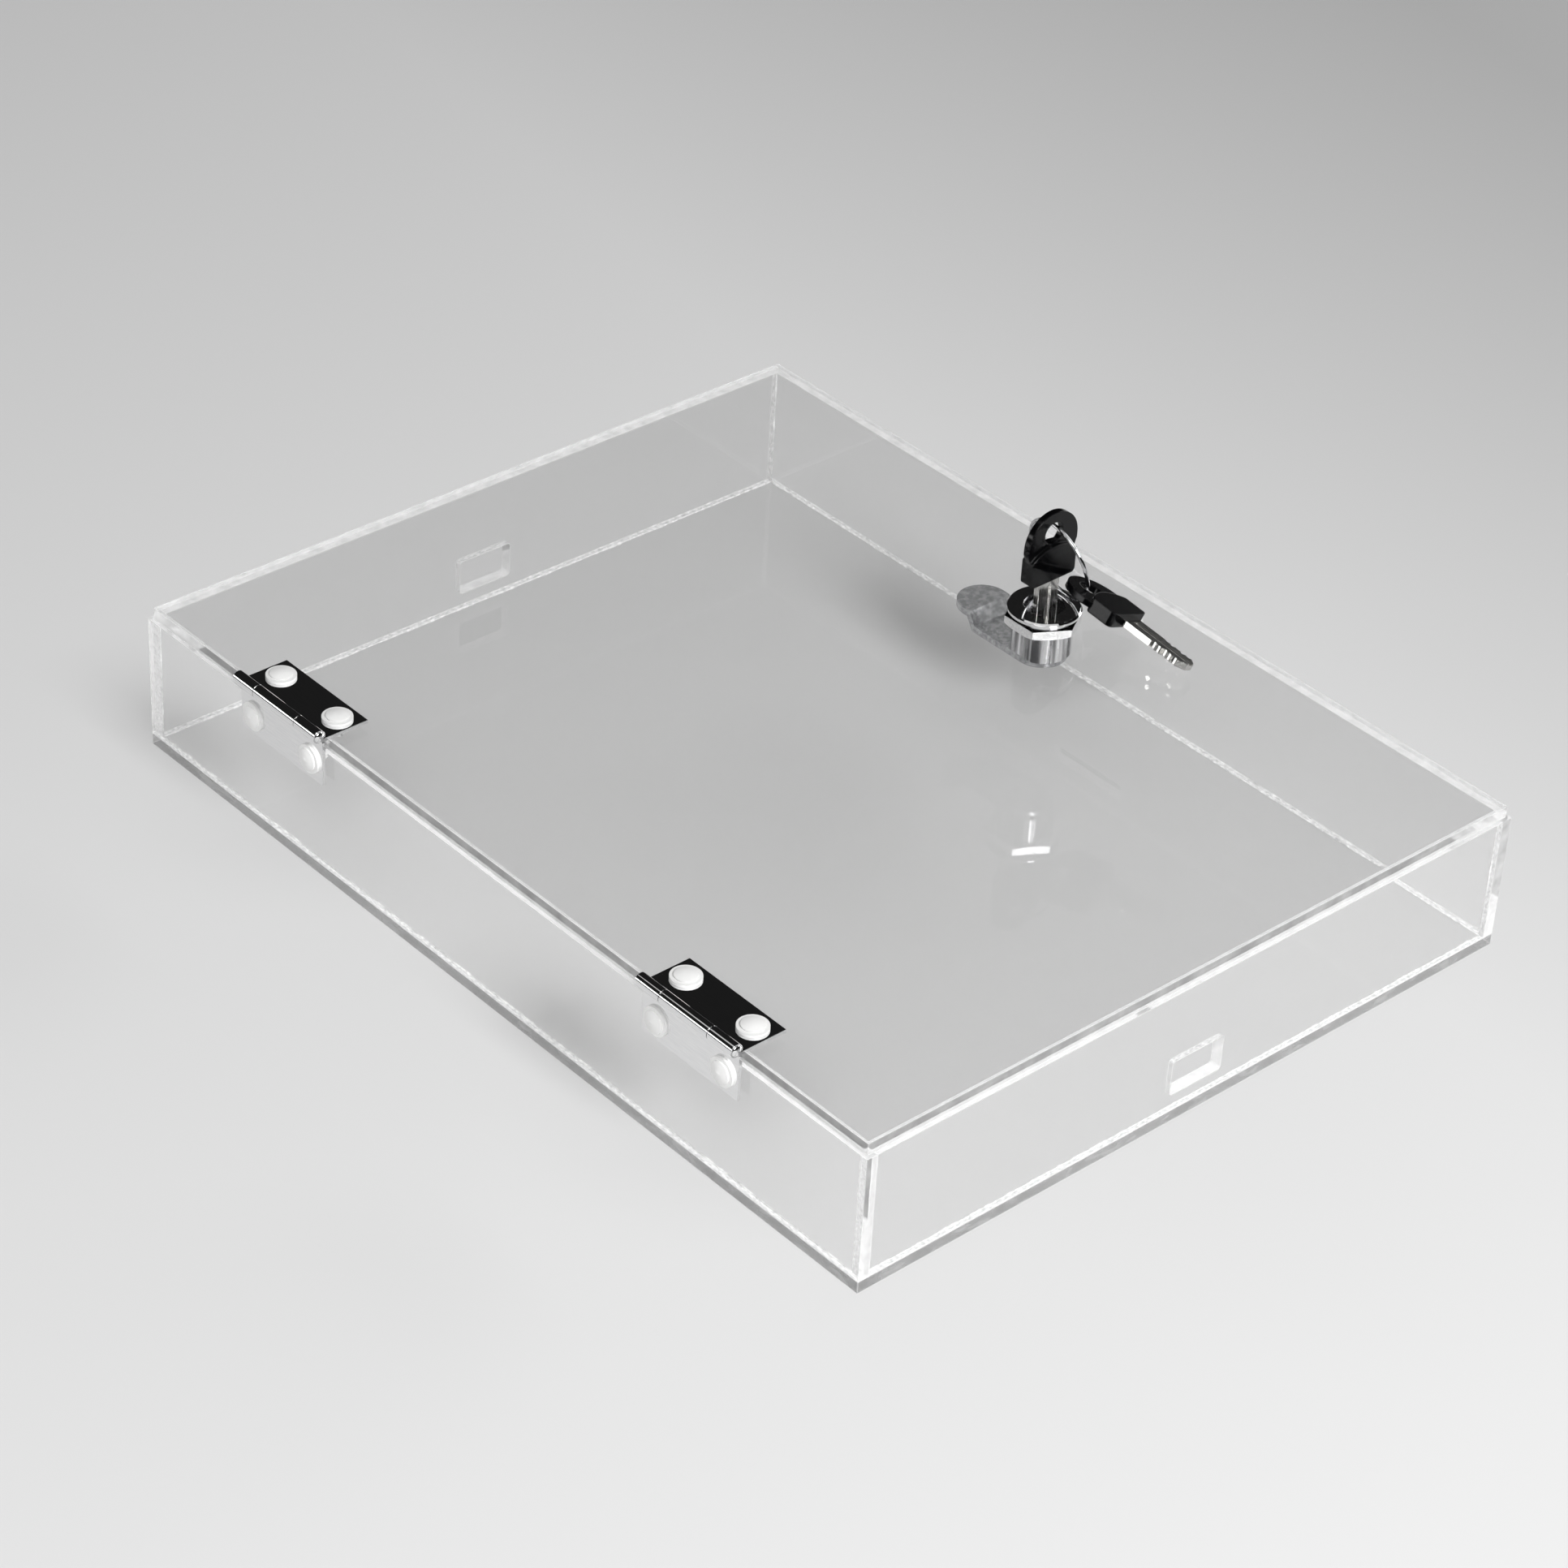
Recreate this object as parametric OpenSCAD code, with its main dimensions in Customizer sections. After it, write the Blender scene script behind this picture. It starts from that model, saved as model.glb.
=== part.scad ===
// Acrylic phone lock box: a case of five glued panels, a hinged lid with a wafer cam lock, and two keys on
// a ring. Origin at the centre of the base's underside. X runs along the long side, the lock is at -Y and the
// hinges at +Y, Z is up. All lengths in mm. Drawn with the lid closed and the cam turned aside.

/* [Case] */
// Outside length of the case, along X
box_length = 305; // [240:1:420]
// Outside width of the case, along Y
box_width = 238; // [180:1:340]
// Height of the four walls, standing on the base
wall_height = 39.4; // [34:0.2:90]
// Thickness of the base sheet
base_thickness = 3.6; // [2:0.1:8]
// Thickness of the wall sheets
wall_thickness = 3.6; // [2.4:0.1:5]
// Thickness of the lid sheet
lid_thickness = 3.6; // [2.4:0.1:5]
// How far the lid's edges stand in from the case's faces
lid_inset = 1.2; // [0.2:0.1:1.6]

/* [Cable slots] */
// Width of the slot in each end wall
cable_slot_width = 19; // [8:0.5:60]
// Height of the slot in each end wall
cable_slot_height = 11; // [5:0.5:18]
// Height of the slot's lower edge over the base sheet
cable_slot_sill = 5.4; // [2:0.2:10]
// Corner radius of the slot
cable_slot_radius = 1.0; // [0.3:0.1:2]

/* [Hinges] */
// Distance between the middles of the two hinges
hinge_spacing = 174; // [110:1:190]
// Length of a hinge along its pin
hinge_length = 37.5; // [34:0.5:50]
// Width of one leaf, from the pin's axis to its free edge
hinge_leaf_width = 16.5; // [15.5:0.1:22]
// Thickness of the leaf sheet
hinge_leaf_thickness = 1.0; // [0.7:0.05:1.3]
// Diameter of the pin
hinge_pin_diameter = 1.9; // [1.4:0.05:2.6]
// Running clearance of the pin in the knuckles, on the radius
hinge_pin_clearance = 0.05; // [0.02:0.01:0.1]
// End gap between neighbouring knuckles
knuckle_gap = 0.3; // [0.15:0.05:0.6]
// Height of the pin's domed ends
hinge_pin_dome = 0.6; // [0.3:0.05:1]
// End play of the pin in the knuckles, at each end
hinge_pin_end_play = 0.1; // [0.05:0.05:0.3]

/* [Rivets] */
// Spacing of a leaf's two rivets, along the pin
rivet_spacing = 26; // [18:0.5:27]
// Distance from the pin's axis to the rivets
rivet_from_axis = 10.4; // [10.2:0.1:11]
// Diameter of the sleeve's flange
rivet_flange_diameter = 8.8; // [6.5:0.1:9.2]
// Thickness of the sleeve's flange
rivet_flange_thickness = 0.8; // [0.5:0.1:1.2]
// Diameter of the sleeve's legs
rivet_leg_diameter = 3.6; // [3:0.1:3.8]
// How far the legs reach past the sheet
rivet_leg_reach = 2.4; // [1.6:0.1:2.5]
// Swelling of the legs behind the sheet, on the radius
rivet_leg_swell = 0.2; // [0.1:0.05:0.25]
// Width of the slit between the legs
rivet_slit = 0.6; // [0.3:0.05:0.8]
// Diameter of the push pin's shank
rivet_pin_diameter = 1.8; // [1.2:0.1:2]
// Diameter of the push pin's cap
rivet_cap_diameter = 6.6; // [5:0.1:8]
// Height of the push pin's cap
rivet_cap_height = 1.0; // [0.6:0.1:1.4]
// Clearance of the legs in their holes, on the radius
rivet_hole_clearance = 0.1; // [0.05:0.05:0.2]
// Clearance of the push pin in the sleeve, on the radius
rivet_bore_clearance = 0.05; // [0.02:0.01:0.1]

/* [Lock body] */
// Position of the lock along X from the middle of the lid
lock_offset = -2; // [-40:0.5:40]
// Distance of the lock's axis from the case's front face
lock_setback = 33; // [32:0.5:34]
// Diameter of the lock's flange
lock_flange_diameter = 22; // [21:0.1:26]
// Thickness of the lock's flange
lock_flange_thickness = 1.2; // [0.8:0.1:2.5]
// Diameter of the lock's barrel
lock_barrel_diameter = 18; // [17.6:0.1:18.4]
// Width over the barrel's two flats
lock_barrel_flats = 16; // [15.4:0.1:17]
// Length of the barrel below the flange
lock_barrel_length = 15.4; // [15:0.1:16.5]
// Width of the nut over its flats
lock_nut_width = 20.3; // [19.4:0.1:24]
// Height of the nut
lock_nut_height = 2.9; // [2:0.1:4]
// Clearance of the barrel in the lid's hole and in the nut, on the radius
lock_barrel_clearance = 0.1; // [0.05:0.05:0.4]
// Height of the chamfer round the flange's top
lock_flange_bevel = 0.5; // [0.2:0.05:0.7]
// Height of the chamfer on the nut's lower corners
lock_nut_chamfer = 0.6; // [0.2:0.05:1]

/* [Plug and wafers] */
// Diameter of the plug
plug_diameter = 12; // [11.6:0.1:13]
// Running clearance of the plug in the barrel, on the radius
plug_clearance = 0.05; // [0.02:0.01:0.1]
// Depth of the plug's face below the flange's face
plug_face_depth = 0.3; // [0:0.05:0.6]
// Side of the square tail that carries the cam
plug_tail_side = 7; // [5:0.1:7.6]
// Number of wafers
wafer_count = 5; // [3:1:5]
// Depth of the first wafer's middle below the plug's face
wafer_first_depth = 2.8; // [2.2:0.1:3.2]
// Pitch of the wafers
wafer_pitch = 2; // [1.8:0.05:2.1]
// Thickness of a wafer
wafer_thickness = 1; // [0.6:0.05:1.2]
// Width of a wafer, across the blade's flat sides
wafer_width = 5.2; // [4.6:0.1:5.6]
// Length of a wafer, along the blade's width
wafer_length = 10.6; // [10:0.1:10.7]
// Clearance of the wafers in their slots, on each side
wafer_clearance = 0.06; // [0.04:0.01:0.1]
// Largest sideways step of a wafer's window from its middle
wafer_window_step = 0.12; // [0.04:0.02:0.2]

/* [Cam] */
// Thickness of the cam plate
cam_thickness = 2; // [1.5:0.1:2.4]
// Width of the cam
cam_width = 16; // [12:0.5:17]
// Reach of the cam from the plug's axis
cam_reach = 32.4; // [31.4:0.1:32.6]
// Distance from the axis to the crank
cam_crank_start = 20.6; // [17:0.1:21]
// Length that the crank takes
cam_crank_run = 2.4; // [1.5:0.1:3]
// Height of the crank
cam_crank_rise = 4; // [2:0.1:4.4]
// Clearance of the square tail in the cam, on each side
cam_square_clearance = 0.05; // [0.02:0.01:0.15]
// Gap between the barrel's end and the cam
cam_end_play = 0.05; // [0.02:0.01:0.15]
// How far the tail ends above the cam's underside, so that the washer clamps the cam
cam_tail_recess = 0.1; // [0.05:0.05:0.3]
// Diameter of the washer under the cam
cam_washer_diameter = 12; // [10:0.5:14]
// Thickness of the washer
cam_washer_thickness = 0.8; // [0.5:0.1:1.5]
// Clearance of the screw in the washer, on the radius
cam_washer_clearance = 0.1; // [0.05:0.05:0.3]
// Diameter of the cam screw's thread
cam_screw_diameter = 3; // [2.5:0.1:3.6]
// Clearance of the screw in the tail's hole, on the radius
cam_screw_clearance = 0.05; // [0.02:0.01:0.1]
// Diameter of the cam screw's head
cam_screw_head_diameter = 6.6; // [6:0.1:8]
// Height of the cam screw's head
cam_screw_head_height = 2.2; // [1.6:0.1:3]

/* [Cam slot] */
// Length of the cam slot on the side that the cam comes from
cam_slot_near = 18.5; // [17:0.5:24]
// Length of the cam slot on the far side
cam_slot_far = 10.5; // [9.5:0.5:16]
// Height of the cam slot
cam_slot_height = 5; // [4.6:0.1:5.4]
// Gap under the cam in its slot
cam_slot_play = 1.4; // [0.6:0.1:1.8]

/* [Keys] */
// Thickness of the key blade
key_blade_thickness = 2; // [1.6:0.05:2.2]
// Width of the key blade
key_blade_width = 8; // [7:0.1:8.2]
// Length of blade inside the lock
key_blade_depth = 14.3; // [13.8:0.1:14.5]
// Length of blade between the lock's face and the head
key_blade_neck = 9.7; // [9.6:0.1:9.8]
// Length of blade moulded into the head
key_tang_length = 8; // [5:0.5:9]
// Deepest cut in the blade's edge
key_cut_depth = 1.2; // [0.6:0.1:1.6]
// Depth of the groove along the blade
key_groove_depth = 0.5; // [0.3:0.05:0.6]
// Width of the groove along the blade
key_groove_width = 1.6; // [1:0.1:2]
// Clearance of the blade in the keyway, on each side
key_clearance = 0.08; // [0.05:0.01:0.1]
// Space below the blade's point in the keyway
key_end_gap = 0.25; // [0.1:0.05:0.4]
// Width of the key's head at its foot
key_foot_width = 17.4; // [16.8:0.1:17.8]
// Thickness of the head's foot, which holds the blade
key_foot_thickness = 4.4; // [4:0.1:4.6]
// Height of the foot at its middle
key_foot_height = 11.6; // [11:0.1:11.6]
// Radius of the foot's arched top
key_foot_arch_radius = 13; // [11:0.5:20]
// Radius of the head's lower corners
key_corner_radius = 1.5; // [0.5:0.1:2.5]
// Width of the thin plate with the ring's hole
key_plate_width = 19.4; // [18.6:0.1:19.6]
// Thickness of the thin plate
key_plate_thickness = 2; // [1.6:0.1:2.2]
// Height at which the plate reaches its full width
key_shoulder_height = 10.5; // [9.5:0.1:11]
// Height of the key's whole head
key_head_height = 22; // [21.8:0.1:22.2]
// Diameter of the hole for the ring
key_hole_diameter = 7; // [6.8:0.1:7]
// Distance from the head's top to the hole's middle
key_hole_from_top = 6.8; // [6.7:0.1:6.8]

/* [Spare key and ring] */
// Distance of the spare key's head foot from the lock's axis, along X
spare_key_back = 26.2; // [26.1:0.1:26.3]
// Distance of the spare key's middle line in front of the lock's axis
spare_key_front = 7.1; // [7:0.1:7.2]
// Height of the spare key's middle over the lid at its head's foot
spare_key_height = 6.45; // [6.4:0.05:6.5]
// Slope of the spare key, ring end up
spare_key_pitch = 10.1; // [10:0.1:10.2]
// Turn of the spare key away from X
spare_key_yaw = 3.9; // [3.8:0.1:4]
// Roll of the spare key round its own length, lock side up
spare_key_roll = 24.1; // [24:0.1:24.2]
// Mean diameter of the key ring
ring_diameter = 26; // [25.9:0.1:26.1]
// Diameter of the ring's wire
ring_wire = 1.2; // [0.8:0.1:1.3]
// Turn of the ring's plane round the upright
ring_heading = -5.8; // [-5.9:0.1:-5.7]
// Lean of the ring's plane from the level
ring_lean = 75.5; // [75.4:0.1:75.6]
// Turn of the ring in its own plane
ring_turn = 9.4; // [9.2:0.1:9.6]
// Place of the ring's wire at the standing key's hole, from the hole's middle: along X, along Y and up
ring_seat_x = -1.25; // [-1.3:0.05:-1.2]
ring_seat_y = -1.4; // [-1.45:0.05:-1.35]
ring_seat_z = 1.15; // [1.1:0.05:1.2]

/* [Hidden] */
// Overrun of every cut past the face that it opens
cut = 0.5;
// How far two shapes of one piece run into each other where they join
overlap = 0.2;
$fn = 64;

// Shares that give a piece its form
leaf_relief_share = 1.2;
hinge_dome_share = 0.8;
rivet_swell_share = 0.8;
rivet_pin_reach_share = 0.7;
rivet_cap_rim_share = 0.4;
screw_recess_width_share = 0.14;
screw_recess_length_share = 0.55;
screw_recess_depth_share = 0.3;
key_point_share = 0.6;
key_cut_floor_share = 0.34;
key_groove_share = 0.9;
// Angle under the level at which the knuckle's rolled end stops, short of its leaf
roll_gap_angle = 20;

base_top = base_thickness;
wall_top = base_top + wall_height;
lid_top = wall_top + lid_thickness;
half_length = box_length / 2;
half_width = box_width / 2;
inner_half_width = half_width - wall_thickness;

barrel_inner_radius = hinge_pin_diameter / 2 + hinge_pin_clearance;
barrel_radius = barrel_inner_radius + hinge_leaf_thickness;
hinge_axis_y = half_width + barrel_radius;
hinge_axis_z = lid_top + barrel_radius;
leaf_relief = barrel_radius * leaf_relief_share;

rivet_hole_radius = rivet_leg_diameter / 2 + rivet_hole_clearance;
rivet_y = hinge_axis_y - rivet_from_axis;
rivet_z = hinge_axis_z - rivet_from_axis;

lock_y = -half_width + lock_setback;
flange_top = lid_top + lock_flange_thickness;
barrel_bottom = lid_top - lock_barrel_length;
plug_face = flange_top - plug_face_depth;
keyway_bottom = plug_face - key_blade_depth - key_end_gap;
key_foot_z = plug_face + key_blade_neck;
key_hole_height = key_head_height - key_hole_from_top;

cam_top = barrel_bottom - cam_end_play;
cam_bottom = cam_top - cam_thickness;
cam_tip_bottom = cam_bottom + cam_crank_rise;
screw_end = (keyway_bottom + barrel_bottom) / 2;

// Window of each wafer, as a share of the largest step
wafer_step_share = [-1, 0.5, 0, 1, -0.5];
// Depth of each cut in the blade, as a share of the deepest cut, one list for each edge
key_cut_share = [[0.5, 0.9, 0.3, 1, 0.6], [0.8, 0.4, 1, 0.5, 0.7]];

acrylic = [0.86, 0.89, 0.9, 0.35];
steel = [0.78, 0.78, 0.8];
chrome = [0.7, 0.7, 0.72];
brass = [0.8, 0.68, 0.38];
white_nylon = [0.95, 0.95, 0.94];
black_plastic = [0.05, 0.05, 0.06];

// Shared shapes

// Extrudes a flat shape drawn as (Y, Z) along X, centred
module along_x(length) {
    rotate([90, 0, 90]) linear_extrude(length, center = true) children();
}

// A slot drawn flat, with round corners
module round_slot(width, height, radius) {
    for (sx = [-1, 1]) for (sy = [-1, 1])
        translate([sx * (width / 2 - radius), sy * (height / 2 - radius)]) circle(radius);
    square([width - 2 * radius, height], center = true);
    square([width, height - 2 * radius], center = true);
}

// The places of all four rivets along the two hinges
module at_rivets() {
    for (side = [-1, 1]) for (end = [-1, 1])
        translate([side * hinge_spacing / 2 + end * rivet_spacing / 2, 0, 0]) children();
}

// The places of a leaf's own two rivets
module at_leaf_rivets() {
    for (end = [-1, 1]) translate([end * rivet_spacing / 2, 0, 0]) children();
}

// Moves a thing drawn on the XY plane, outward up, onto the lid's leaf face
module on_lid_leaf() {
    translate([0, rivet_y, lid_top + hinge_leaf_thickness]) children();
}

// Moves the same thing onto the wall's leaf face
module on_wall_leaf() {
    translate([0, half_width + hinge_leaf_thickness, rivet_z]) rotate([-90, 0, 0]) children();
}

// Case panels

module base_panel() {
    color(acrylic)
    translate([-half_length, -half_width, 0]) cube([box_length, box_width, base_thickness]);
}

module long_wall(y) {
    translate([-half_length, y, base_top]) cube([box_length, wall_thickness, wall_height]);
}

module front_wall() {
    slot_bottom = cam_tip_bottom - cam_slot_play;
    color(acrylic)
    difference() {
        long_wall(-half_width);
        translate([lock_offset - cam_slot_far, -half_width - cut, slot_bottom])
            cube([cam_slot_far + cam_slot_near, wall_thickness + 2 * cut, cam_slot_height]);
    }
}

module rear_wall() {
    color(acrylic)
    difference() {
        long_wall(inner_half_width);
        at_rivets() translate([0, inner_half_width - cut, rivet_z]) rotate([-90, 0, 0])
            cylinder(h = wall_thickness + 2 * cut, r = rivet_hole_radius);
    }
}

module end_wall() {
    slot_middle = base_top + cable_slot_sill + cable_slot_height / 2;
    difference() {
        translate([-wall_thickness / 2, -inner_half_width, base_top])
            cube([wall_thickness, 2 * inner_half_width, wall_height]);
        translate([0, 0, slot_middle]) along_x(wall_thickness + 2 * cut)
            round_slot(cable_slot_width, cable_slot_height, cable_slot_radius);
    }
}

module left_wall() {
    color(acrylic) translate([-half_length + wall_thickness / 2, 0, 0]) end_wall();
}

module right_wall() {
    color(acrylic) translate([half_length - wall_thickness / 2, 0, 0]) end_wall();
}

// The lock barrel's section, round with two flats that stop it turning
module barrel_section(clearance) {
    intersection() {
        circle(lock_barrel_diameter / 2 + clearance);
        square([lock_barrel_diameter + 2 * cut, lock_barrel_flats + 2 * clearance], center = true);
    }
}

module lid_panel() {
    lid_length = box_length - 2 * lid_inset;
    lid_width = box_width - 2 * lid_inset;
    color(acrylic)
    difference() {
        translate([-lid_length / 2, -lid_width / 2, wall_top]) cube([lid_length, lid_width, lid_thickness]);
        at_rivets() translate([0, rivet_y, wall_top - cut])
            cylinder(h = lid_thickness + 2 * cut, r = rivet_hole_radius);
        translate([lock_offset, lock_y, wall_top - cut])
            linear_extrude(lid_thickness + 2 * cut) barrel_section(lock_barrel_clearance);
    }
}

// Hinges, drawn round the pin's axis

// The rolled part of a leaf: a ring left open where the sheet's end comes back to the leaf
module roll() {
    difference() {
        circle(barrel_radius);
        circle(barrel_inner_radius);
        polygon([[0, 0], [-2 * barrel_radius, -2 * barrel_radius * tan(roll_gap_angle)],
            [-2 * barrel_radius, -barrel_radius - cut], [0, -barrel_radius - cut]]);
    }
}

// One leaf's section where it is rolled round the pin
module rolled_section() {
    roll();
    translate([-hinge_leaf_width, -barrel_radius]) square([hinge_leaf_width, hinge_leaf_thickness]);
}

// One leaf's section where the other leaf's knuckle passes
module plain_section() {
    translate([-hinge_leaf_width, -barrel_radius])
        square([hinge_leaf_width - leaf_relief, hinge_leaf_thickness]);
}

module leaf_holes() {
    at_leaf_rivets() translate([0, -rivet_from_axis, -barrel_radius - cut])
        cylinder(h = hinge_leaf_thickness + 2 * cut, r = rivet_hole_radius);
}

// The lid's leaf has a knuckle at each end, each a quarter of the hinge long
module lid_leaf() {
    outer = hinge_length / 4 - knuckle_gap / 2;
    difference() {
        union() {
            along_x(hinge_length) plain_section();
            for (end = [-1, 1]) translate([end * (hinge_length - outer) / 2, 0, 0])
                along_x(outer) rolled_section();
        }
        leaf_holes();
    }
}

// The wall's leaf has the one middle knuckle, half the hinge long
module wall_leaf() {
    difference() {
        union() {
            along_x(hinge_length) plain_section();
            along_x(hinge_length / 2 - knuckle_gap / 2) rolled_section();
        }
        leaf_holes();
    }
}

module at_hinge(side) {
    translate([side * hinge_spacing / 2, hinge_axis_y, hinge_axis_z]) children();
}

// The wall's leaf is the same form mirrored over the diagonal, so it hangs down the wall
module hanging() {
    rotate([90, 0, 0]) mirror([0, 0, 1]) children();
}

// A steel pin with domed ends that keep it in the knuckles
module hinge_pin() {
    half = hinge_length / 2 + hinge_pin_end_play;
    dome_radius = barrel_radius * hinge_dome_share;
    rotate([0, 90, 0]) {
        cylinder(h = 2 * half, r = hinge_pin_diameter / 2, center = true);
        for (end = [0, 180]) rotate([end, 0, 0]) translate([0, 0, half])
            dome(dome_radius, hinge_pin_dome);
    }
}

// A low round cap cut from a ball, flat underneath
module dome(radius, height) {
    ball = (radius * radius + height * height) / (2 * height);
    intersection() {
        cylinder(h = height, r = radius);
        translate([0, 0, height - ball]) sphere(ball);
    }
}

module left_hinge_wall_leaf() {
    color(steel) at_hinge(-1) hanging() wall_leaf();
}

module left_hinge_lid_leaf() {
    color(steel) at_hinge(-1) lid_leaf();
}

module left_hinge_pin() {
    color(steel) at_hinge(-1) hinge_pin();
}

module right_hinge_wall_leaf() {
    color(steel) at_hinge(1) hanging() wall_leaf();
}

module right_hinge_lid_leaf() {
    color(steel) at_hinge(1) lid_leaf();
}

module right_hinge_pin() {
    color(steel) at_hinge(1) hinge_pin();
}

// Snap rivets, drawn with the leaf's face at zero and outward up

module rivet_sleeve(grip) {
    leg_end = -grip - rivet_leg_reach;
    leg_radius = rivet_leg_diameter / 2;
    bore_radius = rivet_pin_diameter / 2 + rivet_bore_clearance;
    difference() {
        union() {
            cylinder(h = rivet_flange_thickness, r = rivet_flange_diameter / 2);
            translate([0, 0, leg_end]) cylinder(h = -leg_end + overlap, r = leg_radius);
            translate([0, 0, leg_end]) cylinder(h = rivet_leg_reach * rivet_swell_share, r1 = leg_radius,
                r2 = leg_radius + rivet_leg_swell);
        }
        translate([0, 0, leg_end - cut]) cylinder(h = rivet_flange_thickness - leg_end + 2 * cut,
            r = bore_radius);
        for (turn = [0, 90]) rotate([0, 0, turn])
            translate([-rivet_slit / 2, -leg_radius - rivet_leg_swell - cut, leg_end - cut])
                cube([rivet_slit, 2 * (leg_radius + rivet_leg_swell + cut), rivet_leg_reach + cut]);
    }
}

module rivet_pin(grip) {
    shank = grip + rivet_leg_reach * rivet_pin_reach_share + rivet_flange_thickness;
    rim = rivet_cap_height * rivet_cap_rim_share;
    translate([0, 0, rivet_flange_thickness]) {
        translate([0, 0, -shank]) cylinder(h = shank + overlap, r = rivet_pin_diameter / 2);
        cylinder(h = rim, r = rivet_cap_diameter / 2);
        translate([0, 0, rim]) dome(rivet_cap_diameter / 2, rivet_cap_height - rim);
    }
}

module wall_rivet_sleeves() {
    color(white_nylon) at_rivets() on_wall_leaf() rivet_sleeve(wall_thickness + hinge_leaf_thickness);
}

module wall_rivet_pins() {
    color(white_nylon) at_rivets() on_wall_leaf() rivet_pin(wall_thickness + hinge_leaf_thickness);
}

module lid_rivet_sleeves() {
    color(white_nylon) at_rivets() on_lid_leaf() rivet_sleeve(lid_thickness + hinge_leaf_thickness);
}

module lid_rivet_pins() {
    color(white_nylon) at_rivets() on_lid_leaf() rivet_pin(lid_thickness + hinge_leaf_thickness);
}

// Cam lock

module at_lock(z) {
    translate([lock_offset, lock_y, z]) children();
}

module lock_housing() {
    flange_radius = lock_flange_diameter / 2;
    color(chrome)
    difference() {
        union() {
            at_lock(lid_top) cylinder(h = lock_flange_thickness - lock_flange_bevel, r = flange_radius);
            at_lock(flange_top - lock_flange_bevel)
                cylinder(h = lock_flange_bevel, r1 = flange_radius, r2 = flange_radius - lock_flange_bevel);
            at_lock(barrel_bottom) linear_extrude(lock_barrel_length + overlap) barrel_section(0);
        }
        at_lock(barrel_bottom - cut)
            cylinder(h = flange_top - barrel_bottom + 2 * cut, r = plug_diameter / 2 + plug_clearance);
    }
}

module lock_nut() {
    nut_bottom = wall_top - lock_nut_height;
    corner = lock_nut_width / sqrt(3);
    color(chrome)
    difference() {
        intersection() {
            at_lock(nut_bottom) cylinder(h = lock_nut_height, r = corner, $fn = 6);
            union() {
                at_lock(nut_bottom)
                    cylinder(h = lock_nut_chamfer, r1 = corner - 2 * lock_nut_chamfer, r2 = corner);
                at_lock(nut_bottom + lock_nut_chamfer)
                    cylinder(h = lock_nut_height - lock_nut_chamfer, r = corner);
            }
        }
        at_lock(nut_bottom - cut)
            cylinder(h = lock_nut_height + 2 * cut, r = lock_barrel_diameter / 2 + lock_barrel_clearance);
    }
}

// The keyway's section: the blade's own section with the ward that fits its groove
module blade_section(clearance) {
    ward_width = key_groove_width - 2 * clearance;
    ward_reach = key_groove_depth - clearance;
    difference() {
        square([key_blade_thickness + 2 * clearance, key_blade_width + 2 * clearance], center = true);
        translate([-key_blade_thickness / 2 - clearance - cut, -ward_width / 2])
            square([ward_reach + clearance + cut, ward_width]);
    }
}

module wafer_place(i) {
    translate([0, 0, plug_face - wafer_first_depth - i * wafer_pitch]) children();
}

module lock_plug() {
    slot_width = wafer_width + 2 * wafer_clearance;
    slot_height = wafer_thickness + 2 * wafer_clearance;
    tail_end = cam_bottom + cam_tail_recess;
    color(chrome)
    difference() {
        union() {
            at_lock(barrel_bottom) cylinder(h = plug_face - barrel_bottom, r = plug_diameter / 2);
            at_lock(tail_end) linear_extrude(barrel_bottom - tail_end + overlap)
                square(plug_tail_side, center = true);
        }
        at_lock(keyway_bottom) linear_extrude(plug_face - keyway_bottom + cut) blade_section(key_clearance);
        translate([lock_offset, lock_y, 0]) for (i = [0 : wafer_count - 1])
            wafer_place(i) cube([slot_width, plug_diameter + 2 * cut, slot_height], center = true);
        at_lock(cam_bottom - cut)
            cylinder(h = screw_end - cam_bottom + cut, r = cam_screw_diameter / 2 + cam_screw_clearance);
    }
}

module lock_wafers() {
    window_length = key_blade_width + 2 * (wafer_window_step + key_clearance);
    color(brass)
    translate([lock_offset, lock_y, 0]) for (i = [0 : wafer_count - 1]) wafer_place(i)
        difference() {
            cube([wafer_width, wafer_length, wafer_thickness], center = true);
            translate([0, wafer_step_share[i] * wafer_window_step, 0])
                cube([key_blade_thickness + 2 * key_clearance, window_length, wafer_thickness + 2 * cut],
                    center = true);
        }
}

// The cam drawn from the side, as (along the cam, up), cranked upwards
module cam_side() {
    crank_end = cam_crank_start + cam_crank_run;
    polygon([[-cam_width, 0], [cam_crank_start, 0], [crank_end, cam_crank_rise],
        [cam_reach + cut, cam_crank_rise], [cam_reach + cut, cam_crank_rise + cam_thickness],
        [crank_end - cam_thickness / 2, cam_crank_rise + cam_thickness],
        [cam_crank_start - cam_thickness / 2, cam_thickness], [-cam_width, cam_thickness]]);
}

// The cam seen from above: a round hub, a straight arm and a round end
module cam_outline() {
    end_middle = cam_reach - cam_width / 2;
    circle(cam_width / 2);
    translate([0, -cam_width / 2]) square([end_middle, cam_width]);
    translate([end_middle, 0]) circle(cam_width / 2);
}

module lock_cam() {
    tall = cam_crank_rise + cam_thickness;
    hole_side = plug_tail_side + 2 * cam_square_clearance;
    color(steel)
    at_lock(cam_bottom) difference() {
        intersection() {
            rotate([90, 0, 0]) linear_extrude(cam_width + 2 * cut, center = true) cam_side();
            linear_extrude(tall) cam_outline();
        }
        cube([hole_side, hole_side, 2 * (cam_thickness + cut)], center = true);
    }
}

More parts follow.
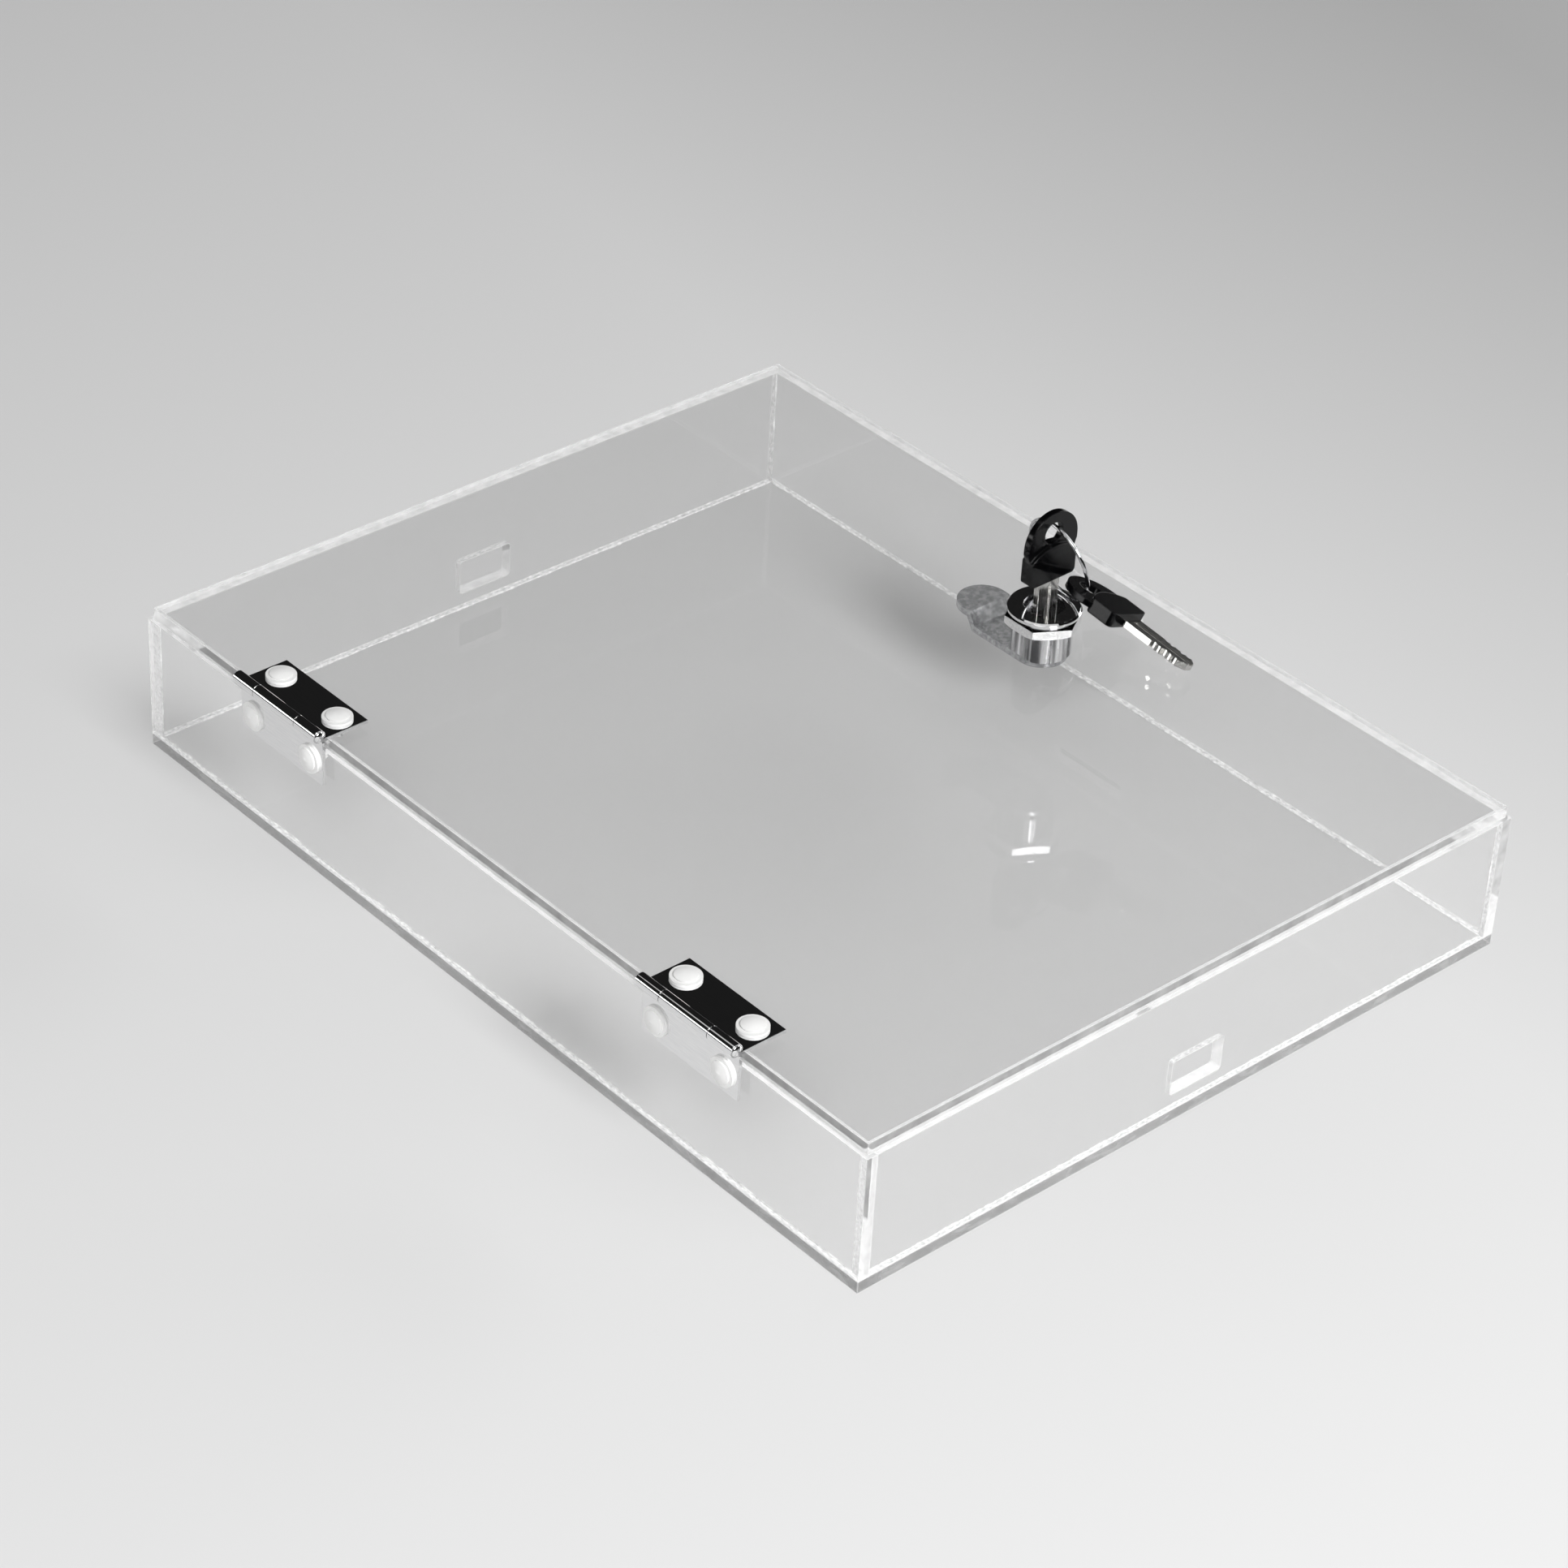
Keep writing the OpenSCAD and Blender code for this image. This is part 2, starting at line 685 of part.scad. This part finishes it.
module cam_washer() {
    color(steel)
    at_lock(cam_bottom - cam_washer_thickness) difference() {
        cylinder(h = cam_washer_thickness, r = cam_washer_diameter / 2);
        translate([0, 0, -cut]) cylinder(h = cam_washer_thickness + 2 * cut,
            r = cam_screw_diameter / 2 + cam_washer_clearance);
    }
}

module cam_screw() {
    head_top = cam_bottom - cam_washer_thickness;
    recess_length = cam_screw_head_diameter * screw_recess_length_share;
    recess_width = cam_screw_head_diameter * screw_recess_width_share;
    recess_depth = cam_screw_head_height * screw_recess_depth_share;
    color(steel)
    difference() {
        union() {
            at_lock(head_top - overlap)
                cylinder(h = screw_end - head_top, r = cam_screw_diameter / 2);
            at_lock(head_top) rotate([180, 0, 0])
                dome(cam_screw_head_diameter / 2, cam_screw_head_height);
        }
        at_lock(head_top - cam_screw_head_height) for (turn = [0, 90]) rotate([0, 0, turn])
            cube([recess_length, recess_width, 2 * recess_depth], center = true);
    }
}

// Keys, drawn standing on the head's foot at zero, blade down, thickness along X

// The foot seen flat on, with an arched top and small round lower corners
module foot_outline() {
    half = key_foot_width / 2;
    intersection() {
        translate([0, key_foot_height - key_foot_arch_radius]) circle(key_foot_arch_radius);
        union() {
            translate([-half, key_corner_radius]) square([key_foot_width, key_foot_height]);
            translate([-half + key_corner_radius, 0])
                square([key_foot_width - 2 * key_corner_radius, 2 * key_corner_radius]);
            for (side = [-1, 1]) translate([side * (half - key_corner_radius), key_corner_radius])
                circle(key_corner_radius);
        }
    }
}

// The plate seen flat on: it starts inside the foot, widens to its shoulders and has a round top
module plate_outline() {
    half_foot = key_foot_width / 2;
    half = key_plate_width / 2;
    flare = half - half_foot;
    polygon([[-half_foot, key_corner_radius], [half_foot, key_corner_radius],
        [half_foot, key_shoulder_height - flare], [half, key_shoulder_height],
        [half, key_head_height - half], [-half, key_head_height - half],
        [-half, key_shoulder_height], [-half_foot, key_shoulder_height - flare]]);
    translate([0, key_head_height - half]) circle(half);
}

module key_head() {
    difference() {
        union() {
            along_x(key_foot_thickness) foot_outline();
            along_x(key_plate_thickness) plate_outline();
        }
        translate([0, 0, key_hole_height]) rotate([0, 90, 0])
            cylinder(h = key_foot_thickness + 2 * cut, r = key_hole_diameter / 2, center = true);
        translate([-key_blade_thickness / 2, -key_blade_width / 2, -cut])
            cube([key_blade_thickness, key_blade_width, key_tang_length + cut]);
    }
}

// The blade seen flat on: a straight neck, cuts along both edges and a blunt point
module blade_outline() {
    half = key_blade_width / 2;
    blade_end = -key_blade_neck - key_blade_depth;
    point = half * key_point_share;
    cut_floor = wafer_pitch * key_cut_floor_share / 2;
    difference() {
        polygon([[-half, key_tang_length], [half, key_tang_length], [half, blade_end + point],
            [half - point, blade_end], [-half + point, blade_end], [-half, blade_end + point]]);
        for (i = [0 : wafer_count - 1]) for (edge = [0, 1]) {
            depth = key_cut_depth * key_cut_share[edge][i];
            z = -key_blade_neck - wafer_first_depth - i * wafer_pitch;
            side = 2 * edge - 1;
            if (z - wafer_pitch / 2 > blade_end + point)
                polygon([[side * (half + cut), z + wafer_pitch / 2], [side * half, z + wafer_pitch / 2],
                    [side * (half - depth), z + cut_floor],
                    [side * (half - depth), z - cut_floor],
                    [side * half, z - wafer_pitch / 2], [side * (half + cut), z - wafer_pitch / 2]]);
        }
    }
}

module key_blade() {
    blade_length = key_blade_neck + key_blade_depth;
    difference() {
        along_x(key_blade_thickness) blade_outline();
        translate([-key_blade_thickness / 2 - cut, -key_groove_width / 2, -blade_length - cut])
            cube([key_groove_depth + cut, key_groove_width, blade_length * key_groove_share + cut]);
    }
}

module key_one_place() {
    at_lock(key_foot_z) children();
}

// The spare key leans beside the lock: its blade's point on the lid, its head on the ring
module key_two_place() {
    translate([lock_offset - spare_key_back, lock_y - spare_key_front, lid_top + spare_key_height])
        rotate([0, 0, spare_key_yaw]) rotate([0, 90 - spare_key_pitch, 0]) rotate([0, 0, spare_key_roll])
            children();
}

module key_one_head() {
    color(black_plastic) key_one_place() key_head();
}

module key_one_blade() {
    color(steel) key_one_place() key_blade();
}

module key_two_head() {
    color(black_plastic) key_two_place() key_head();
}

module key_two_blade() {
    color(steel) key_two_place() key_blade();
}

// A closed wire ring that runs through the holes of both keys
module key_ring() {
    color(steel)
    translate([lock_offset + ring_seat_x, lock_y + ring_seat_y, key_foot_z + key_hole_height + ring_seat_z])
        rotate([0, 0, ring_heading]) rotate([ring_lean, 0, 0]) rotate([0, 0, ring_turn])
            translate([0, -ring_diameter / 2, 0])
                rotate_extrude() translate([ring_diameter / 2, 0]) circle(ring_wire / 2);
}

base_panel();
front_wall();
rear_wall();
left_wall();
right_wall();
lid_panel();
left_hinge_wall_leaf();
left_hinge_lid_leaf();
left_hinge_pin();
right_hinge_wall_leaf();
right_hinge_lid_leaf();
right_hinge_pin();
wall_rivet_sleeves();
wall_rivet_pins();
lid_rivet_sleeves();
lid_rivet_pins();
lock_housing();
lock_nut();
lock_plug();
lock_wafers();
lock_cam();
cam_washer();
cam_screw();
key_one_head();
key_one_blade();
key_ring();
key_two_head();
key_two_blade();
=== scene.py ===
import random
import bmesh
import bpy
from mathutils import Matrix, Vector


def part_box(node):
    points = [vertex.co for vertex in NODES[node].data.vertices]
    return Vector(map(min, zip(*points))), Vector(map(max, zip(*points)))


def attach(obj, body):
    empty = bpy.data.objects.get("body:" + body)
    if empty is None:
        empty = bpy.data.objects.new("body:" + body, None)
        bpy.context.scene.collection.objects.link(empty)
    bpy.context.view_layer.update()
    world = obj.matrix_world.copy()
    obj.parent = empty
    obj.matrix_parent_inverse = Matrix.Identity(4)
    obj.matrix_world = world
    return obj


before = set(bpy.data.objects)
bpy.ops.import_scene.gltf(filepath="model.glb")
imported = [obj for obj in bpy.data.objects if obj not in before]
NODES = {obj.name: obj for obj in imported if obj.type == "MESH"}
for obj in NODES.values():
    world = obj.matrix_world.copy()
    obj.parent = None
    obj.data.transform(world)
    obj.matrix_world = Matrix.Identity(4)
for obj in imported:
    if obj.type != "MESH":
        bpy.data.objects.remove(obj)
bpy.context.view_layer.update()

MM = 0.001
# A face whose normal has more than this along an axis faces that way
FACING = 0.9
# Share of the light on white acrylic that passes on through it
SEEP = 0.2
# Width in mm of the scraped corners of a sheet, and the share of light that they scatter
CORNER_WIDTH = 0.8
CORNER_WHITE = 0.6


# Colour, node and pattern helpers

def linear(code):
    """A hex sRGB colour as linear RGBA."""
    out = []
    for i in (0, 2, 4):
        c = int(code[i:i + 2], 16) / 255
        out.append(c / 12.92 if c <= 0.04045 else ((c + 0.055) / 1.055) ** 2.4)
    return (*out, 1.0)


def add(tree, kind, inputs=None, **settings):
    """Adds a shader node with its settings; an input that is another node's socket makes a link."""
    n = tree.nodes.new(kind)
    for name, value in settings.items():
        setattr(n, name, value)
    for key, value in (inputs or {}).items():
        if isinstance(value, bpy.types.NodeSocket):
            tree.links.new(value, n.inputs[key])
        else:
            n.inputs[key].default_value = value
    return n


def new_material(name):
    m = bpy.data.materials.new(name)
    m.use_nodes = True
    m.node_tree.nodes.clear()
    return m, m.node_tree


def specks(tree, size):
    """Soft specks of the given size in mm along X, Y and Z, from 0 to 1 round 0.5."""
    place = add(tree, "ShaderNodeTexCoord").outputs["Object"]
    scaled = add(tree, "ShaderNodeMapping", {"Vector": place, "Scale": [1 / (s * MM) for s in size]})
    noise = {"Vector": scaled.outputs[0], "Scale": 1.0, "Detail": 2.0}
    return add(tree, "ShaderNodeTexNoise", noise).outputs[0]


def cloudy(tree, size, low, high):
    """Specks from low to high."""
    spread = {0: specks(tree, size), 1: 0.3, 2: 0.7, 3: low, 4: high}
    return add(tree, "ShaderNodeMapRange", spread).outputs[0]


def worn_normal(tree, height, depth, edge):
    """A normal with a relief of depth mm and, for the light only, edges broken to edge mm."""
    rounded = add(tree, "ShaderNodeBevel", {"Radius": edge * MM}, samples=4).outputs[0]
    relief = {"Height": height, "Distance": depth * MM, "Strength": 1.0, "Normal": rounded}
    return add(tree, "ShaderNodeBump", relief).outputs[0]


def broken_corners(tree):
    """The share of light that a sheet's corners scatter, which falls to 0 within a corner's width."""
    rounded = add(tree, "ShaderNodeBevel", {"Radius": CORNER_WIDTH * MM}, samples=4).outputs[0]
    flat = add(tree, "ShaderNodeNewGeometry").outputs["True Normal"]
    cosine = add(tree, "ShaderNodeVectorMath", {0: rounded, 1: flat}, operation="DOT_PRODUCT")
    lean = add(tree, "ShaderNodeMath", {0: cosine.outputs["Value"]}, operation="ABSOLUTE").outputs[0]
    # At the corner the rounded normal leans by 37 degrees or more, and 10 degrees counts as flat
    share = {0: lean, 1: 0.8, 2: 0.985, 3: CORNER_WHITE, 4: 0.0}
    return add(tree, "ShaderNodeMapRange", share).outputs[0]


# Finishes

def clear_acrylic(name, tint, roughness, white_low=0.0, white_high=0.0, grain=None):
    """Cast acrylic, IOR 1.49 for PMMA. Lamps reach what is inside, as they do through the real clear sheet.
    white_low and white_high are the least and the greatest share of light that a cut or cemented face
    scatters, and grain is the size in mm of its cloudy places."""
    m, t = new_material(name)
    glassy = add(t, "ShaderNodeBsdfPrincipled", {"Base Color": linear(tint), "Roughness": roughness,
                                                 "IOR": 1.49, "Transmission Weight": 1.0}).outputs[0]
    bright = add(t, "ShaderNodeBsdfDiffuse", {"Color": linear("fcfcfc")}).outputs[0]
    lit = add(t, "ShaderNodeBsdfTranslucent", {"Color": linear("fcfcfc")}).outputs[0]
    both = add(t, "ShaderNodeMixShader", {0: SEEP, 1: bright, 2: lit}).outputs[0]
    share = broken_corners(t)
    if white_high > 0:
        face = cloudy(t, grain, white_low, white_high)
        share = add(t, "ShaderNodeMath", {0: share, 1: face}, operation="MAXIMUM").outputs[0]
    surface = add(t, "ShaderNodeMixShader", {0: share, 1: glassy, 2: both}).outputs[0]
    path = add(t, "ShaderNodeLightPath").outputs
    passing = add(t, "ShaderNodeMath", {0: path["Is Shadow Ray"], 1: path["Is Diffuse Ray"]},
                  operation="MAXIMUM").outputs[0]
    through = add(t, "ShaderNodeBsdfTransparent", {"Color": linear("ffffff")}).outputs[0]
    whole = add(t, "ShaderNodeMixShader", {0: passing, 1: surface, 2: through}).outputs[0]
    add(t, "ShaderNodeOutputMaterial", {"Surface": whole})
    return m


def metal(name, dark, light, rough, size, depth, edge=0.2):
    """Bare or plated metal: tone and roughness change over marks of the given size, depth mm deep."""
    m, t = new_material(name)
    marks = specks(t, size)
    share = add(t, "ShaderNodeMapRange", {0: marks, 1: 0.4, 2: 0.6, 3: 0.0, 4: 1.0}).outputs[0]
    tones = {0: share, 6: linear(dark), 7: linear(light)}
    tone = add(t, "ShaderNodeMix", tones, data_type="RGBA").outputs[2]
    dull = add(t, "ShaderNodeMapRange", {0: marks, 1: 0.3, 2: 0.7, 3: rough[0], 4: rough[1]}).outputs[0]
    body = add(t, "ShaderNodeBsdfPrincipled", {"Base Color": tone, "Metallic": 1.0, "Roughness": dull,
                                               "Normal": worn_normal(t, marks, depth, edge)}).outputs[0]
    add(t, "ShaderNodeOutputMaterial", {"Surface": body})
    return m


def moulded(name, dark, light, rough, shine, size, depth, edge):
    """Moulded plastic, IOR 1.53 for ABS and nylon: two close tones, and a surface that follows the mould."""
    m, t = new_material(name)
    texture = specks(t, size)
    tones = {0: cloudy(t, [8 * s for s in size], 0.0, 1.0), 6: linear(dark), 7: linear(light)}
    tone = add(t, "ShaderNodeMix", tones, data_type="RGBA").outputs[2]
    dull = add(t, "ShaderNodeMapRange", {0: texture, 1: 0.3, 2: 0.7, 3: rough[0], 4: rough[1]}).outputs[0]
    body = add(t, "ShaderNodeBsdfPrincipled", {"Base Color": tone, "IOR": 1.53, "Specular IOR Level": shine,
                                               "Roughness": dull,
                                               "Normal": worn_normal(t, texture, depth, edge)}).outputs[0]
    add(t, "ShaderNodeOutputMaterial", {"Surface": body})
    return m


# Polished cast sheet: flat and clear
sheet_face = clear_acrylic("clear cast acrylic", "fcfcfc", 0.0)
# The lid is a shade greyer than the walls
lid_face = clear_acrylic("clear cast acrylic, lid", "f3f3f3", 0.0)
# Sawn and lightly sanded edges scatter light and look white, a little unevenly over every 6 mm
sawn_edge = clear_acrylic("sawn acrylic edge", "fcfcfc", 0.1, 0.45, 0.72, (6, 6, 6))
# The base's edges are polished: mostly clear and grey, with cloudy places 8 mm long
polished_edge = clear_acrylic("polished acrylic edge", "fcfcfc", 0.04, 0.12, 0.3, (8, 8, 3))
# The edges at the hinge side and the left side, at -X, face the viewer and the right lamp and scatter less
# white, so as not to look over-lit: painted shade
edge_painted_less_white = clear_acrylic("acrylic edge painted less white", "fcfcfc", 0.06, 0.3, 0.45, (6, 6, 6))
# Solvent cement leaves a white line with brighter beads and clear voids of 2 to 4 mm
cement_line = clear_acrylic("solvent cemented acrylic", "fcfcfc", 0.05, 0.5, 1.0, (1.8, 1.8, 1.8))

# Mirror-polished stainless sheet, polishing lines along the pin about 6 mm long and 0.4 mm apart
stainless = metal("polished stainless steel", "e9e9ea", "f0f0f0", (0.03, 0.07), (6, 0.4, 0.4), 0.0006)
# Bright chrome on die-cast zinc, its tone painted in light and dark streaks 3 mm apart down the barrel:
# painted reflections of the pale floor and of shade
chrome_painted_streaks = metal("chrome on die-cast zinc, painted reflections", "5f5f61", "f6f6f7", (0.04, 0.1), (3, 3, 60), 0.02)
# Bright chrome on the flange and the nut, with a faint ripple 0.8 mm wide
chrome = metal("bright chrome", "eeeeef", "f8f8f8", (0.03, 0.07), (0.8, 0.8, 0.8), 0.0006)
# Satin chrome on the plug, a little grainy from the casting
plug_chrome = metal("satin chrome on die-cast zinc", "b4b4b6", "d2d2d4", (0.05, 0.16),
                    (0.6, 0.6, 0.6), 0.002)
# Plain stamped brass with stamping marks of half a millimetre
brass = metal("plain stamped brass", "b89a54", "d0b46c", (0.25, 0.4), (0.5, 0.5, 0.5), 0.002)
# Bright zinc plating, cloudy over 1.5 mm
zinc_plate = metal("bright zinc plated steel", "a9aaac", "c6c7c8", (0.14, 0.26), (1.5, 1.5, 1.5), 0.003)
# Nickel plated key blanks, brushed along their length, lines 0.3 mm apart
standing_nickel = metal("nickel plated key, brushed upright", "bdbcb9", "d4d3d0", (0.12, 0.24),
                        (0.3, 0.3, 6), 0.001)
lying_nickel = metal("nickel plated key, brushed along X", "bdbcb9", "d4d3d0", (0.1, 0.18),
                     (6, 0.3, 0.3), 0.001)
# Polished spring wire with drawing marks under 1 mm
ring_steel = metal("polished steel wire", "c0c0c2", "d2d2d4", (0.06, 0.12), (0.8, 0.8, 0.8), 0.001, 0.05)
# Black ABS from a polished mould, with a faint flow texture 0.5 mm wide, corners broken to 0.5 mm
black_abs = moulded("black moulded ABS", "040405", "070708", (0.1, 0.16), 0.2, (0.5, 0.5, 0.5), 0.0006, 0.5)
# White nylon, satin, with soft corners
nylon = moulded("white moulded nylon", "dededd", "e6e6e5", (0.35, 0.5), 0.5, (0.7, 0.7, 0.7), 0.003, 0.25)
# The wall's rivets face away from the overhead lamp and yet look as bright, so their nylon is painted whiter
# than the lid's: painted light
nylon_painted_brighter = moulded("nylon painted brighter", "f7f7f6", "fcfcfb", (0.35, 0.5), 0.5, (0.7, 0.7, 0.7), 0.003, 0.25)

LOOK = {
    stainless: ["left_hinge_wall_leaf", "left_hinge_lid_leaf", "left_hinge_pin",
                "right_hinge_wall_leaf", "right_hinge_lid_leaf", "right_hinge_pin"],
    nylon: ["lid_rivet_sleeves", "lid_rivet_pins"],
    # The wall's rivets get the copy of the nylon painted brighter, which is painted light
    nylon_painted_brighter: ["wall_rivet_sleeves", "wall_rivet_pins"],
    # The barrel's chrome carries painted reflections as light and dark streaks
    chrome_painted_streaks: ["lock_housing"],
    chrome: ["lock_nut"],
    plug_chrome: ["lock_plug"],
    brass: ["lock_wafers"],
    zinc_plate: ["lock_cam", "cam_washer", "cam_screw"],
    standing_nickel: ["key_one_blade"],
    lying_nickel: ["key_two_blade"],
    ring_steel: ["key_ring"],
    black_abs: ["key_one_head", "key_two_head"],
}
for look, names in LOOK.items():
    for n in names:
        NODES[n].data.materials.clear()
        NODES[n].data.materials.append(look)

# The lock's flange, above the lid, is plain chrome
lid_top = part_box("lid_panel")[1][2]
housing = NODES["lock_housing"].data
housing.materials.append(chrome)
for face in housing.polygons:
    face.material_index = 1 if face.center.z > lid_top else 0

# Each sheet's broad faces, across this axis, are clear; its cut edges are sawn, and cemented where they
# stand on another sheet.
# The edges toward the viewer and the right lamp get a less white copy, which is painted shade
SHEET_AXIS = {"base_panel": 2, "lid_panel": 2, "front_wall": 1, "rear_wall": 1,
              "left_wall": 0, "right_wall": 0}
# The ends of the end walls lie beyond this Y, in metres, and the cable slots' sides within it
WALL_END = 0.1
for n, axis in SHEET_AXIS.items():
    mesh = NODES[n].data
    mesh.materials.clear()
    broad = lid_face if n == "lid_panel" else sheet_face
    cut = polished_edge if n == "base_panel" else sawn_edge
    for look in (broad, cut, cement_line, edge_painted_less_white):
        mesh.materials.append(look)
    for face in mesh.polygons:
        stands = axis < 2 and face.normal.z < -FACING
        butts = axis == 0 and abs(face.normal.y) > FACING and abs(face.center.y) > WALL_END
        # Edges toward the viewer and the right lamp are painted less white: painted shade
        near_side = face.normal.y > FACING or face.normal.x < -FACING
        lamp_side_painted_shade = n in ("rear_wall", "left_wall") or n == "lid_panel" and near_side
        if abs(face.normal[axis]) > FACING:
            face.material_index = 0
        elif stands or butts:
            face.material_index = 2
        else:
            face.material_index = 3 if lamp_side_painted_shade else 1


# Cement that was squeezed out of the joints

def cement_bead(bm, start, end, thin, thick, step, chance):
    """A bead from start to end, in metres, whose radius changes between thin and thick mm every step mm."""
    along = Vector(end) - Vector(start)
    steps = max(2, round(along.length / (step * MM)))
    facing = along.to_track_quat("Z", "Y").to_matrix().to_4x4()
    made = bmesh.ops.create_circle(bm, cap_ends=True, segments=6, radius=thin * MM,
                                   matrix=Matrix.Translation(start) @ facing)
    face = made["verts"][0].link_faces[0]
    for i in range(1, steps + 1):
        out = bmesh.ops.extrude_face_region(bm, geom=[face])
        corners = [g for g in out["geom"] if isinstance(g, bmesh.types.BMVert)]
        face = [g for g in out["geom"] if isinstance(g, bmesh.types.BMFace)][0]
        middle = Vector(start) + along * (i / steps)
        radius = thin if i == steps else chance.uniform(thin, thick)
        before = Vector(start) + along * ((i - 1) / steps)
        for v in corners:
            v.co = middle + (v.co - before).normalized() * radius * MM


def cement_beads():
    """Beads along the walls' feet, inside and just under the outer faces, and up the inner corners."""
    chance = random.Random(7)
    base_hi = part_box("base_panel")[1]
    inside_x, inside_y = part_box("right_wall")[0][0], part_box("rear_wall")[0][1]
    foot, top = base_hi[2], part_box("front_wall")[1][2]
    # The outer bead stays this far inside the faces
    skin = 0.6 * MM
    bm = bmesh.new()
    inner = (inside_x, inside_y, 0.22, 0.55)
    outer = (base_hi[0] - skin, base_hi[1] - skin, 0.12, 0.45)
    for x, y, thin, thick in (inner, outer):
        ring = [(-x, -y, foot), (x, -y, foot), (x, y, foot), (-x, y, foot)]
        for a, b in zip(ring, ring[1:] + ring[:1]):
            cement_bead(bm, a, b, thin, thick, 2.5, chance)
    for x in (-inside_x, inside_x):
        for y in (-inside_y, inside_y):
            cement_bead(bm, (x, y, foot), (x, y, top), 0.25, 0.45, 3.0, chance)
    bmesh.ops.recalc_face_normals(bm, faces=bm.faces)
    for f in bm.faces:
        f.smooth = True
    mesh = bpy.data.meshes.new("cement_beads")
    bm.to_mesh(mesh)
    bm.free()
    mesh.materials.append(cement_line)
    o = bpy.data.objects.new("cement_beads", mesh)
    bpy.context.collection.objects.link(o)
    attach(o, "case")


cement_beads()


# Table, light and camera

# The way in which the paper's painted shade deepens
PAST_LOCK = (-0.205, -0.979, 0.0)


def plane(name, half, z, mat):
    """A square from -half to half at height z."""
    mesh = bpy.data.meshes.new(name)
    corners = [(-half, -half, z), (half, -half, z), (half, half, z), (-half, half, z)]
    mesh.from_pydata(corners, [], [(0, 1, 2, 3)])
    mesh.materials.append(mat)
    o = bpy.data.objects.new(name, mesh)
    bpy.context.collection.objects.link(o)


def paper_with_painted_shade():
    """Pale paper with painted shade: darker past the lock side, and darker with distance until near black,
    where the light falls off.
    """
    m, t = new_material("pale paper with painted shade")
    place = add(t, "ShaderNodeTexCoord").outputs["Object"]
    past_lock = add(t, "ShaderNodeVectorMath", {0: place, 1: PAST_LOCK}, operation="DOT_PRODUCT")
    # The painted shade deepens from 0.12 m to 0.5 m past the box's middle
    share = add(t, "ShaderNodeMapRange", {0: past_lock.outputs["Value"], 1: 0.12, 2: 0.5, 3: 0.0, 4: 1.0})
    tones = {0: share.outputs[0], 6: linear("d6d6d6"), 7: linear("b3b3b3")}
    tone = add(t, "ShaderNodeMix", tones, data_type="RGBA").outputs[2]
    # The painted dark starts 0.85 m away and is full at 1.7 m
    away = add(t, "ShaderNodeVectorMath", {0: place}, operation="LENGTH").outputs["Value"]
    far = add(t, "ShaderNodeMapRange", {0: away, 1: 0.85, 2: 1.7, 3: 0.0, 4: 1.0}).outputs[0]
    tones = {0: far, 6: tone, 7: linear("202020")}
    tone = add(t, "ShaderNodeMix", tones, data_type="RGBA").outputs[2]
    paper = add(t, "ShaderNodeBsdfDiffuse", {"Color": tone}).outputs[0]
    add(t, "ShaderNodeOutputMaterial", {"Surface": paper})
    return m


# The floor is 12 m wide, at the height of the base's underside
plane("table", 6.0, 0.0, paper_with_painted_shade())


def softbox(name, where, size, power):
    """A rectangular lamp that faces the box."""
    data = bpy.data.lights.new(name, "AREA")
    data.shape = "RECTANGLE"
    data.size, data.size_y = size
    data.energy = power
    o = bpy.data.objects.new(name, data)
    bpy.context.collection.objects.link(o)
    o.location = where
    o.rotation_euler = (-Vector(where)).to_track_quat("-Z", "Y").to_euler()


softbox("overhead softbox", (-0.45, 0.35, 1.9), (3.4, 3.4), 23)
softbox("viewer softbox", (-0.75, 1.05, 1.5), (0.9, 0.6), 8)
softbox("right softbox", (-1.58, 0.28, 1.15), (0.6, 0.6), 31)
softbox("back softbox", (-0.2, -1.77, 0.68), (1.5, 0.8), 14)
softbox("hinge side softbox", (0.95, 1.25, 0.42), (1.3, 0.24), 4)

# The room is dark all round, which keeps the polished steel and the black plastic black
world = bpy.data.worlds.new("studio")
bpy.context.scene.world = world
world.use_nodes = True
tree = world.node_tree
# Light that comes out of a sheet's edge meets a paler room, because edges gather light from all round
out_of_edge = add(tree, "ShaderNodeLightPath").outputs["Is Transmission Ray"]
room = add(tree, "ShaderNodeMapRange", {0: out_of_edge, 1: 0.0, 2: 1.0, 3: 0.012, 4: 0.45}).outputs[0]
tree.links.new(room, tree.nodes["Background"].inputs[0])

# The camera's place, turn and lens come from a fit to the box's corners in the photo
camera_data = bpy.data.cameras.new("camera")
camera_data.sensor_width = 36
camera_data.lens = 103.8
camera = bpy.data.objects.new("camera", camera_data)
bpy.context.collection.objects.link(camera)
RIGHT = Vector((-0.65886, -0.75071, 0.04846))
UP = Vector((0.45511, -0.34647, 0.82026))
FORWARD = Vector((0.59898, -0.56249, -0.56993))
turn = Matrix((RIGHT, UP, -FORWARD)).transposed().to_4x4()
PLACE = Vector((-757.4, 722.2, 745.2)) * MM
camera.matrix_world = Matrix.Translation(PLACE) @ turn
bpy.context.scene.camera = camera
bpy.context.scene.view_settings.view_transform = "Standard"
